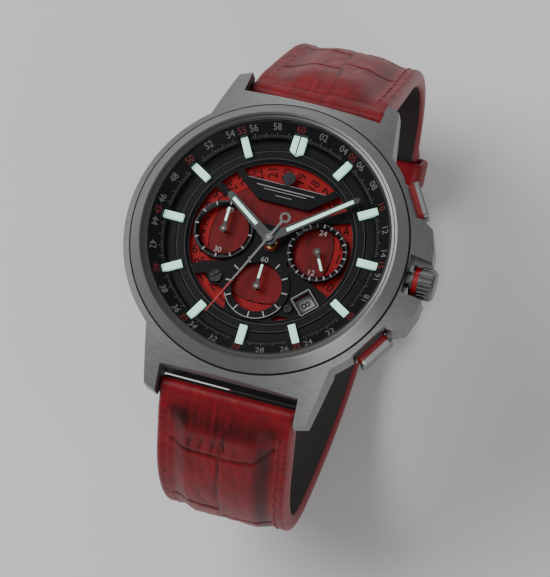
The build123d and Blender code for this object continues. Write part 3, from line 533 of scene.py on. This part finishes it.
# ---------- lume ----------
for name, body, clock, x, y, wide, y0, y1, z in (
    ("hour_hand_lume", "hour", -55.7, 0, 0, 0.27, 3.12, 8.68, 8.13),
    ("minute_hand_lume", "centre", 51.5, 0, 0, 0.27, 2.92, 13.98, 8.58),
    ("small_seconds_lume", "seconds", 0, 0, -SUBDIAL_R, 0.17, 1.2, 3.45, 7.43),
    ("counter_lume", "counter", 0, -SUBDIAL_R, 0, 0.17, 1.2, 3.45, 7.43),
    ("day_lume", "day", 151, SUBDIAL_R, 0, 0.17, 1.2, 3.15, 7.43),
):
    strip = Batch()
    strip.bar(upright(x, y, 0, -clock), -wide, wide, y0, y1, z - 0.05, z + 0.02)
    strip.done(name, lume, body)

# the double marker at 12 is parted by a dark line
parting = Batch()
parting.bar(upright(0, 0, 0), -0.09, 0.09, 13.98, 16.98, 7.59, 7.615)
parting.done("twelve_parting", print_black, "case")

# ---------- strap ----------
leather = Graph("strap_leather")
tint_cloud = leather.noise(leather.coordinates, 240.0, 5.0, 0.6)
pores = leather.add("ShaderNodeTexVoronoi", Scale=2600.0, Vector=leather.coordinates).outputs[0]
grain = leather.noise(leather.coordinates, 3200.0, 4.0, 0.7)
# per-point painted shade and painted highlights, multiplied into the leather colour
painted_shading_input = leather.add("ShaderNodeVertexColor", {"layer_name": "painted_shading"}).outputs[0]
shaded = leather.add("ShaderNodeMix", {"data_type": "RGBA", "blend_type": "MULTIPLY"})
shaded.inputs[0].default_value = 1.0
hide = leather.ramp(tint_cloud, 0.3, 0.7, (0.16, 0.0025, 0.007), (0.28, 0.0045, 0.011))
leather.link(hide, shaded.inputs[6])
leather.link(painted_shading_input, shaded.inputs[7])
leather.set(
    Base_Color=shaded.outputs[2],
    Roughness=leather.range(grain, 0.3, 0.7, 0.34, 0.50),
    Specular_IOR_Level=0.28,
)
leather.bump(leather.math("MULTIPLY_ADD", pores, 0.5, grain), 0.35, 0.05)
lining = plain("strap_lining", (0.018, 0.013, 0.012), 0.0, 0.7, 0.15, 2000.0, 0.3)
edge_paint = plain("strap_edge_paint", (0.20, 0.006, 0.012), 0.0, 0.4, 0.1, 1500.0, 0.2)
thread = plain("strap_thread", (0.20, 0.008, 0.014), 0.0, 0.55, 0.15, 5000.0, 0.4)

UPPER_PATH = [(22, 0), (16, -30), (14, -45), (17, -50), (6, 0)]
LOWER_PATH = [(12, 0), (16, -31), (16, -50), (26, -27), (7, -15)]
UPPER_START = -55
LOWER_START = -57
BAR_Y = 24.6
BAR_Z = 1.6
STEP = 0.45
FULL_HALF_W = 10.9
TAPER = 0.95
CASE_HALF_T = 1.9
THIN_HALF_T = 1.2
THINNING_LENGTH = 36
LAYER_GAP = 0.35
TAIL_T = 2.2
TAIL_OUT = THIN_HALF_T + LAYER_GAP
UPPER_LENGTH = 75.0
LOWER_FLAT = 77.0
TAIL_START = 51.0
RAMP_START = 11.4
RAMP_END = 4.8
RAMP_TILT = 0.42
HOLE_SPACING = 6.5
COLUMNS = 60
EDGE_R = 0.6
EDGE_STEPS = 4
PAD_H = 1.5
PAD_FOOT = 2.6
MARGIN_W = 2.1
STITCH_IN = 2.15
FOLD_IN = 2.35
RIM_IN = 1.0
SLOPE_IN = 4.1
NICK_PITCH = 1.5
END_THINNING = 0.55
HOLLOW_AT = 3.4
HOLE_R = 0.8
HOLE_CELLS_X = 0.75
HOLE_CELLS_S = 0.72
TIP_LENGTH = 7.0


def smooth(t):
    """Rises from 0 to 1 with level ends while t runs from 0 to 1."""
    t = min(max(t, 0.0), 1.0)
    return t * t * (3 - 2 * t)


def dip(distance, width):
    """A bell of height 1, for a crease or a ridge of this width."""
    return math.exp(-((distance / width) ** 2))


def sample_path(path, start_angle):
    """Stations every half millimetre or so as (length, y, z, angle)."""
    y, z, angle, so_far = BAR_Y, BAR_Z, math.radians(start_angle), 0.0
    found = [(so_far, y, z, angle)]
    for length, turn in path:
        count = max(1, round(length / STEP))
        for _ in range(count):
            half_turn = math.radians(turn) / count / 2
            angle += half_turn
            y += length / count * math.cos(angle)
            z += length / count * math.sin(angle)
            angle += half_turn
            so_far += length / count
            found.append((so_far, y, z, angle))
    return found


def long_line(upper):
    """Stations of the long strap piece: flat, a ramp out over the bar, then back over the short one."""
    line = sample_path(LOWER_PATH, LOWER_START)
    s, y_end, z_end, _ = line[-1]
    bar_y, bar_z = upper[-1][1], upper[-1][2]
    tail_z = bar_z - TAIL_OUT - TAIL_T / 2
    ramp_start = -(bar_y - RAMP_START)
    ramp_end = -(bar_y - RAMP_END)
    steps = int((bar_y + y_end) / STEP)
    for i in range(1, steps + 1):
        y = y_end - i * STEP
        share = min(max((ramp_start - y) / (ramp_start - ramp_end), 0), 1)
        z = z_end + (tail_z - z_end) * smooth(share)
        line.append((s + i * STEP, y, z, -math.pi + RAMP_TILT * math.sin(math.pi * share)))
    s = line[-1][0]
    out = TAIL_OUT + TAIL_T / 2
    for at, y, z, angle in reversed(upper):
        if TAIL_START <= at <= UPPER_LENGTH - STEP / 2:
            s += STEP
            place = (out * math.sin(angle) - y, z + out * math.cos(angle))
            line.append((s, *place, -angle - 2 * math.pi))
    return line


upper_line = sample_path(UPPER_PATH, UPPER_START)
lower_line = long_line(upper_line)
LOWER_LENGTH = lower_line[-1][0]
BUCKLE_Y = upper_line[-1][1]


def half_thickness(s):
    """Half the strap's thickness without its pad, thinner away from the case."""
    if s > LOWER_FLAT:
        return TAIL_T / 2
    return CASE_HALF_T + (THIN_HALF_T - CASE_HALF_T) * min(max(s / THINNING_LENGTH, 0), 1)


def half_width(s):
    """Half the strap's width, narrower towards the buckle."""
    return FULL_HALF_W - TAPER * smooth((s - 8) / 45)


def pad_height(s, start, rise):
    """Height of the padding: it rises from its start and dies away along the strap."""
    return PAD_H * smooth((s - start) / rise) * min(max(1 - (s - 6) / 50, 0), 1)


def crosses_depth(x, s, seam, left, right, seed):
    """Creases that cross the strap: each is (place, slope, extra slope near the edge)."""
    depth = 0.0
    for at, slope, flare in left if x < seam else right:
        bend = at + slope * (x - seam) + flare * max(0.0, abs(x) - 5.5)
        bend += 0.5 * noise.noise(Vector((x * 0.25, at, seed)))
        depth = max(depth, dip(s - bend, 0.24))
    return depth


def upper_creases(x, s):
    """Depth share of the scale pattern on the short strap half: a seam and the creases beside it."""
    seam = 0.2 + 0.8 * math.sin(s / 8 + 1.2) + 0.3 * noise.noise(Vector((x * 0.3, s * 0.12, 11.0)))
    left = [(0.9, 0.03, 0), (12.0, 0.1, -0.3), (23.0, -0.1, 0.3), (36, 0.1, 0), (49, 0, 0.2), (61, 0.05, 0)]
    right = [(1.3, 0.02, 0), (16.0, -0.05, 0.3), (27.0, 0.1, 0), (40, -0.08, 0.2), (54, 0.05, 0), (66, 0, 0)]
    return max(0.9 * dip(x - seam, 0.2), crosses_depth(x, s, seam, left, right, 14.0))


def lower_creases(x, s):
    """The same for the long strap half, with five fine wrinkles next to the case."""
    seam = 2.0 - 0.28 * s if s < 7.6 else -0.13 - 0.25 * smooth((s - 9) / 8)
    seam += 0.3 * noise.noise(Vector((x * 0.3, s * 0.12, 5.0)))
    left = [(9.9, 0.05, 0), (24.0, 0.05, 0.2), (37, -0.06, 0), (50, 0.05, 0.2), (63, 0, 0), (77, 0.03, 0)]
    right = [(9.9, -0.12, -1.0), (27.0, -0.05, 0), (41, 0.06, 0.2), (55, 0, 0), (69, 0.04, 0), (84, 0, 0)]
    depth = max(0.9 * dip(x - seam, 0.2), crosses_depth(x, s, seam, left, right, 8.0))
    for place, strength in ((-4.9, 1.2), (-3.1, 1.2), (-1.2, 1.1), (0.5, 1.3), (2.4, 0.7)):
        wrinkle = strength * dip(x - place - 0.14 * (7.5 - s), 0.24) * dip(s - 7.6, 1.6)
        depth = max(depth, wrinkle)
    return depth


def surface(x, s, half, upper):
    """Height of the outer face above the strap's middle, and its shade.

    The face is a pad between low stitched margins, with a fold beside each margin, creases between
    the scales, fine wrinkles along the strap and a pebbled margin. The shade is painted: darker in the
    creases and nicks, down the pad's sides and, on the long piece, in the hollow next to the case, with
    painted highlights on the folds and beside the creases and painted light and shade that follow the
    wrinkles, crumples and pebbles.
    """
    near_end = END_THINNING * (1 - smooth((s + 0.5) / 5))
    pad = pad_height(s, -1.5, 10) if upper else pad_height(s, 0.6, 5.0)
    creases = upper_creases if upper else lower_creases
    side = abs(x)
    padded = smooth(pad / 0.6)
    on_pad = smooth((half - PAD_FOOT - side) / (5.0 if upper else 3.0))
    on_margin = smooth((side - (half - MARGIN_W)) / 0.5) * smooth(s / 3)
    rim = dip(side - (half - RIM_IN), 0.6) * smooth(s / 4)
    fold = dip(side - (half - FOLD_IN), 0.22) * smooth((s - 1) / 3) * padded
    crease = creases(x, s) * smooth((half - MARGIN_W - side) / 0.6) * (0.4 + 0.6 * smooth((s - 2) / 4))
    beside = max(0.0, creases(x, s - 0.55) - 0.3 * crease) * on_pad
    fine = noise.noise(Vector((x * 4.2, s * 0.24, 9.0)))
    crumple = noise.noise(Vector((x * 0.8, s * 0.25, 4.0)))
    pebbles = noise.noise(Vector((x * 1.7, s * 1.4, 6.0))) * on_margin
    uneven_s = s + 0.5 * noise.noise(Vector((s * 0.7, side, 2.0)))
    nicks = dip(uneven_s % NICK_PITCH - NICK_PITCH / 2, 0.17) * on_margin
    slope = dip(side - (half - SLOPE_IN), 1.15) * padded
    # painted shade: on the long piece the pad's right side is made much darker down its slope
    if x > 0 and not upper:
        slope *= 2.3 * smooth((s - 4.5) / 2.5)
    # painted shade in the low ground next to the case on the long piece
    hollow = 0.0 if upper else dip(s - HOLLOW_AT, 1.9) * smooth((half - 1.2 - side) / 1.5)
    height = half_thickness(s) - near_end + pad * on_pad
    height += 0.18 * rim + 0.13 * fold - 0.30 * crease + 0.05 * beside
    height += (0.07 * fine + 0.10 * crumple) * on_pad + 0.10 * pebbles - 0.06 * nicks
    # painted shade and highlights: darker in creases, nicks, down the pad's sides and next to the case;
    # lighter on folds and beside creases; wrinkles, crumples and pebbles are lit and shaded along with their
    # bumps
    fine_wrinkle_shading = 0.34 if x < 0 else 0.16
    shade = 0.84 - 0.66 * crease - 0.26 * slope - 0.52 * hollow - 0.25 * nicks
    shade += 0.16 * fold + 0.10 * beside + fine_wrinkle_shading * fine * on_pad + 0.12 * crumple + 0.45 * pebbles
    return height, max(0.12, min(1.0, shade))


def rounded_ends(line, close_far):
    """The line with extra stations that close its ends in a half circle, and each one's thickness share."""
    turns = [math.radians(a) for a in (84, 66, 48, 30, 15)]
    s, y, z, angle = line[0]
    rows = []
    for a in turns:
        back = (CASE_HALF_T - END_THINNING) * math.sin(a)
        rows.append((s - back, y - back * math.cos(angle), z - back * math.sin(angle), angle, math.cos(a)))
    rows += [(*station, 1.0) for station in line]
    if close_far:
        s, y, z, angle = line[-1]
        for a in reversed(turns):
            on = (THIN_HALF_T - 0.1) * math.sin(a)
            rows.append((s + on, y + on * math.cos(angle), z + on * math.sin(angle), angle, math.cos(a)))
    return rows


def opening(rows, half_x, wanted):
    """Grid cells inside a cut: columns within half_x and the stations that are wanted."""
    chosen = [r for r, row in enumerate(rows) if wanted(row)]
    usable = half_width(rows[chosen[0]][0]) - EDGE_R
    columns = [i for i in range(COLUMNS) if abs(column_x(i, usable)) <= half_x]
    return chosen[0], chosen[-1], columns[0], columns[-1]


def column_x(i, usable):
    """Place of a grid column across the strap."""
    return -usable + 2 * usable * i / (COLUMNS - 1)


def finish_leather(mesh, painted_shading):
    """Store each point's shade, drop loose points and turn all faces outward."""
    layer = mesh.color_attributes.new("painted_shading", "FLOAT_COLOR", "POINT")
    layer.data.foreach_set("color", [c for value in painted_shading for c in (value, value, value, 1.0)])
    shape = bmesh.new()
    shape.from_mesh(mesh)
    bmesh.ops.delete(shape, geom=[v for v in shape.verts if not v.link_faces], context="VERTS")
    bmesh.ops.recalc_face_normals(shape, faces=shape.faces)
    shape.to_mesh(mesh)
    shape.free()


def strap_mesh(name, rows, side, upper, slots, holes, tip, body, node):
    """One strap half: padded outer face, low margins, rounded edges, lining, slots and round holes."""
    moved = {}
    cut = set()
    for r0, r1, c0, c1 in slots + [box for box, _ in holes]:
        cut.update((r, i) for r in range(r0, r1) for i in range(c0, c1))
    for (r0, r1, c0, c1), centre in holes:
        for r in range(r0, r1 + 1):
            for i in range(c0, c1 + 1):
                if r in (r0, r1) or i in (c0, c1):
                    s = rows[r][0]
                    x = column_x(i, half_width(s) - EDGE_R)
                    far = math.hypot(x, s - centre)
                    moved[(r, i)] = (x / far * HOLE_R, (s - centre) / far * HOLE_R + centre)
    points = []
    painted_shading = []
    ring = 2 * COLUMNS + 2 * EDGE_STEPS

    def put(row, x, s, height, shade):
        _, y, z, angle, _ = row
        y += (s - row[0]) * math.cos(angle)
        z += (s - row[0]) * math.sin(angle)
        points.append((x, side * (y - height * math.sin(angle)), z + height * math.cos(angle)))
        painted_shading.append(shade)

    for r, row in enumerate(rows):
        s, share = row[0], row[4]
        half = half_width(s)
        if tip and s > LOWER_LENGTH - TIP_LENGTH:
            half *= math.sqrt(max(0.03, 1 - ((s - LOWER_LENGTH + TIP_LENGTH) / (TIP_LENGTH + 0.15)) ** 2))
        usable = half - EDGE_R
        under = (half_thickness(s) - 0.3 * (1 - smooth((s + 0.5) / 5))) * share
        tops = []
        for i in range(COLUMNS):
            x, at = moved.get((r, i), (column_x(i, usable), s))
            height, shade = surface(x, at, half, upper)
            tops.append((x, at, height * share, shade))
        for x, at, height, shade in tops:
            put(row, x, at, height, shade)
        for x, at, _, _ in tops:
            put(row, x, at, -under, 1.0)
        for sign, edge in ((1, tops[-1][2]), (-1, tops[0][2])):
            for k in range(1, EDGE_STEPS + 1):
                a = math.pi / 2 - math.pi * k / (EDGE_STEPS + 1)
                middle = (edge - under) / 2
                x = sign * (usable + EDGE_R * math.cos(a))
                put(row, x, s, middle + (edge + under) / 2 * math.sin(a), 0.9)

    def top(r, i):
        return r * ring + i

    def low(r, i):
        return r * ring + COLUMNS + i

    def edge_chain(r, sign):
        first = 0 if sign > 0 else EDGE_STEPS
        end = COLUMNS - 1 if sign > 0 else 0
        arc = [r * ring + 2 * COLUMNS + first + k for k in range(EDGE_STEPS)]
        return [top(r, end)] + arc + [low(r, end)]

    faces = []
    kinds = []

    def add(kind, *corners):
        faces.append(corners)
        kinds.append(kind)

    for r in range(len(rows) - 1):
        for i in range(COLUMNS - 1):
            if (r, i) in cut:
                for a, b, next_to in (
                    ((r, i), (r + 1, i), (r, i - 1)),
                    ((r, i + 1), (r + 1, i + 1), (r, i + 1)),
                    ((r, i), (r, i + 1), (r - 1, i)),
                    ((r + 1, i), (r + 1, i + 1), (r + 1, i)),
                ):
                    if next_to not in cut and next_to[0] < len(rows) - 1:
                        add(2, top(*a), top(*b), low(*b), low(*a))
                continue
            add(0, top(r, i), top(r, i + 1), top(r + 1, i + 1), top(r + 1, i))
            add(1, low(r, i), low(r + 1, i), low(r + 1, i + 1), low(r, i + 1))
        for sign in (1, -1):
            here = edge_chain(r, sign)
            there = edge_chain(r + 1, sign)
            for k in range(len(here) - 1):
                add(2, here[k], here[k + 1], there[k + 1], there[k])
    for r, cells in ((0, 0), (len(rows) - 1, len(rows) - 2)):
        for i in range(COLUMNS - 1):
            if (cells, i) not in cut:
                add(2, top(r, i), top(r, i + 1), low(r, i + 1), low(r, i))
        for sign in (1, -1):
            add(2, *edge_chain(r, sign))

    piece = make_piece(name, points, faces, leather, body, True)
    mesh = piece.data
    mesh.materials.append(lining.material)
    mesh.materials.append(edge_paint.material)
    mesh.polygons.foreach_set("material_index", kinds)
    finish_leather(mesh, painted_shading)
    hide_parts(node)


SLOT_HALF = 1.5
SLOT_START = 11.4
SLOT_END = 1.3
NOTCH_HALF = 1.6
NOTCH_LENGTH = 3.0
upper_rows = rounded_ends(upper_line, True)
upper_slot = opening(upper_rows, NOTCH_HALF, lambda row: row[0] >= UPPER_LENGTH - NOTCH_LENGTH)
strap_mesh("upper_strap", upper_rows, 1, True, [upper_slot], [], False, "strap_12", "strap_upper")

lower_rows = rounded_ends(lower_line, False)


def in_tongue_slot(row):
    """Whether a station lies in the slot that the tongue passes through, ahead of the buckle's bar."""
    return LOWER_FLAT - 2 < row[0] < 100 and BUCKLE_Y - SLOT_START <= -row[1] <= BUCKLE_Y - SLOT_END


tongue_slot = opening(lower_rows, SLOT_HALF, in_tongue_slot)
hole_places = [LOWER_FLAT - HOLE_SPACING * k for k in (1, 2, 3)]
tail_origin = LOWER_LENGTH - (UPPER_LENGTH - TAIL_START)
hole_places += [tail_origin + 1 + HOLE_SPACING * k for k in (1, 2)]


def hole_at(place):
    """The grid cells of a round hole, and its place along the strap."""
    return opening(lower_rows, HOLE_CELLS_X, lambda row: abs(row[0] - place) <= HOLE_CELLS_S), place


strap_mesh(
    "lower_strap",
    lower_rows,
    -1,
    False,
    [tongue_slot],
    [hole_at(place) for place in hole_places],
    True,
    "strap_6",
    "strap_lower",
)


# ---------- stitches along both margins ----------
def strap_place(line, side, s, x, out):
    """A place on a strap half: +Y along it, +Z outward."""
    _, y, z, angle = min(line, key=lambda row: abs(row[0] - s))
    along = Vector((0, side * math.cos(angle), math.sin(angle)))
    outward = Vector((0, -side * math.sin(angle), math.cos(angle)))
    across = along.cross(outward)
    at = Vector((x, side * y, z)) + out * outward
    turn = Matrix((across, along, outward)).transposed().to_4x4()
    return Matrix.Translation(at) @ turn


STITCH_PITCH = 2.6
STITCH_START = 4.5
STITCH_SHAPE = ((-0.85, 0.04), (-0.7, 0.15), (0.0, 0.19), (0.7, 0.15), (0.85, 0.04))


def stitches(name, line, side, length, upper, body):
    """Thread capsules along both margins of a strap half, following its outer face."""
    seam = Batch()
    count = int((length - 8) / STITCH_PITCH)
    sides = 6
    for k in range(count):
        s = STITCH_START + k * STITCH_PITCH
        half = half_width(s)
        for x in (-(half - STITCH_IN), half - STITCH_IN):
            height, _ = surface(x, s, half, upper)
            points = []
            for along, r in STITCH_SHAPE:
                for j in range(sides):
                    a = 2 * math.pi * j / sides
                    points.append((r * math.cos(a), along, 0.8 * r * math.sin(a)))
            faces = [tuple(range(sides)), tuple(range(4 * sides, 5 * sides))[::-1]]
            for band in range(4):
                for j in range(sides):
                    a, b = band * sides + j, band * sides + (j + 1) % sides
                    faces.append((a, a + sides, b + sides, b))
            seam.take(points, faces, strap_place(line, side, s, x, height + 0.02))
    seam.done(name, thread, body)


stitches("upper_stitches", upper_line, 1, UPPER_LENGTH, True, "strap_12")
stitches("lower_stitches", lower_line, -1, LOWER_LENGTH - 4, False, "strap_6")


# ---------- keepers: bands of leather round both layers ----------
KEEPER_W = 4.9
KEEPER_T = 1.15
KEEPER_HALF = 10.3
KEEPER_CORNER = 1.1
FIXED_KEEPER_AT = 71.1
FREE_KEEPER_AT = 60.0


def keeper_mesh(name, at, low_gap, body, node):
    """A closed band: its outline is a rounded rectangle, its section a flat strip with soft edges."""
    low = -(THIN_HALF_T + low_gap) - KEEPER_T / 2
    high = TAIL_OUT + TAIL_T + LAYER_GAP + KEEPER_T / 2
    half = KEEPER_HALF + KEEPER_T / 2 + 0.05
    corner = KEEPER_CORNER
    outline = []
    corners = ((half, high, 0), (-half, high, 90), (-half, low, 180), (half, low, 270))
    for cx, cz, start in corners:
        mid_x = cx - math.copysign(corner, cx)
        mid_z = cz - corner if cz == high else cz + corner
        for k in range(7):
            a = math.radians(start + 15 * k)
            outline.append((mid_x, mid_z, math.cos(a), math.sin(a)))
    section = []
    for cx, start in ((KEEPER_W / 2, -90), (-KEEPER_W / 2, 90)):
        for k in range(7):
            a = math.radians(start + 30 * k)
            middle = cx - math.copysign(KEEPER_T / 2, cx)
            section.append((middle + KEEPER_T / 2 * math.cos(a), KEEPER_T / 2 * math.sin(a)))
    place = strap_place(upper_line, 1, at, 0, 0)
    points = []
    painted_shading = []
    for mid_x, mid_z, cos_a, sin_a in outline:
        for along, out in section:
            x = mid_x + (corner + out) * cos_a
            z = mid_z + (corner + out) * sin_a
            points.append(tuple(place @ Vector((x, along, z))))
            # painted shade: the band's inner face, against the strap, is darker than its outer face
            painted_shading.append(0.95 if out > 0 else 0.6)
    n = len(section)
    faces = []
    for i in range(len(outline)):
        here, there = i * n, (i + 1) % len(outline) * n
        faces += [(here + k, here + (k + 1) % n, there + (k + 1) % n, there + k) for k in range(n)]
    piece = make_piece(name, points, faces, leather, body, True)
    finish_leather(piece.data, painted_shading)
    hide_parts(node)


keeper_mesh("fixed_keeper_band", FIXED_KEEPER_AT, 0.03, "strap_12", "fixed_keeper")
keeper_mesh("free_keeper_band", FREE_KEEPER_AT, 0.35, "keeper", "free_keeper")

# ---------- camera, light, floor ----------
camera_data = bpy.data.cameras.new("camera")
camera_data.sensor_width = 36.0
camera_data.lens = 177.8
camera = bpy.data.objects.new("camera", camera_data)
bpy.context.scene.collection.objects.link(camera)
right = Vector((0.95315, 0.28193, -0.10961))
up = Vector((-0.24394, 0.93069, 0.27262))
back = Vector((0.17887, -0.23311, 0.95586))
spin = Matrix((right, up, back)).transposed().to_4x4()
camera.matrix_world = Matrix.Translation((0.08033, -0.10804, 0.42085)) @ spin
bpy.context.scene.camera = camera


def soft_light(name, place, size, power):
    """A round soft light that faces the watch."""
    data = bpy.data.lights.new(name, "AREA")
    data.shape = "DISK"
    data.size = size
    data.energy = power
    lamp = bpy.data.objects.new(name, data)
    bpy.context.scene.collection.objects.link(lamp)
    lamp.location = place
    lamp.rotation_euler = (-Vector(place)).to_track_quat("-Z", "Y").to_euler()


soft_light("key_light", (-0.45, 0.05, 0.7), 0.6, 5.5)
soft_light("fill_light", (0.6, -0.5, 0.45), 0.7, 2.2)
soft_light("back_light", (-0.2, 0.7, 0.3), 0.4, 0.8)

world = bpy.data.worlds.new("soft_room")
world.use_nodes = True
backdrop = world.node_tree.nodes["Background"]
backdrop.inputs[0].default_value = (0.9, 0.92, 0.95, 1)
backdrop.inputs[1].default_value = 0.35
bpy.context.scene.world = world

floor_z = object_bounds()[0][2]
bpy.ops.mesh.primitive_plane_add(size=3.0, location=(0, 0, floor_z))
floor = bpy.context.object
floor.name = "floor"
floor.data.materials.append(floor_paint.material)
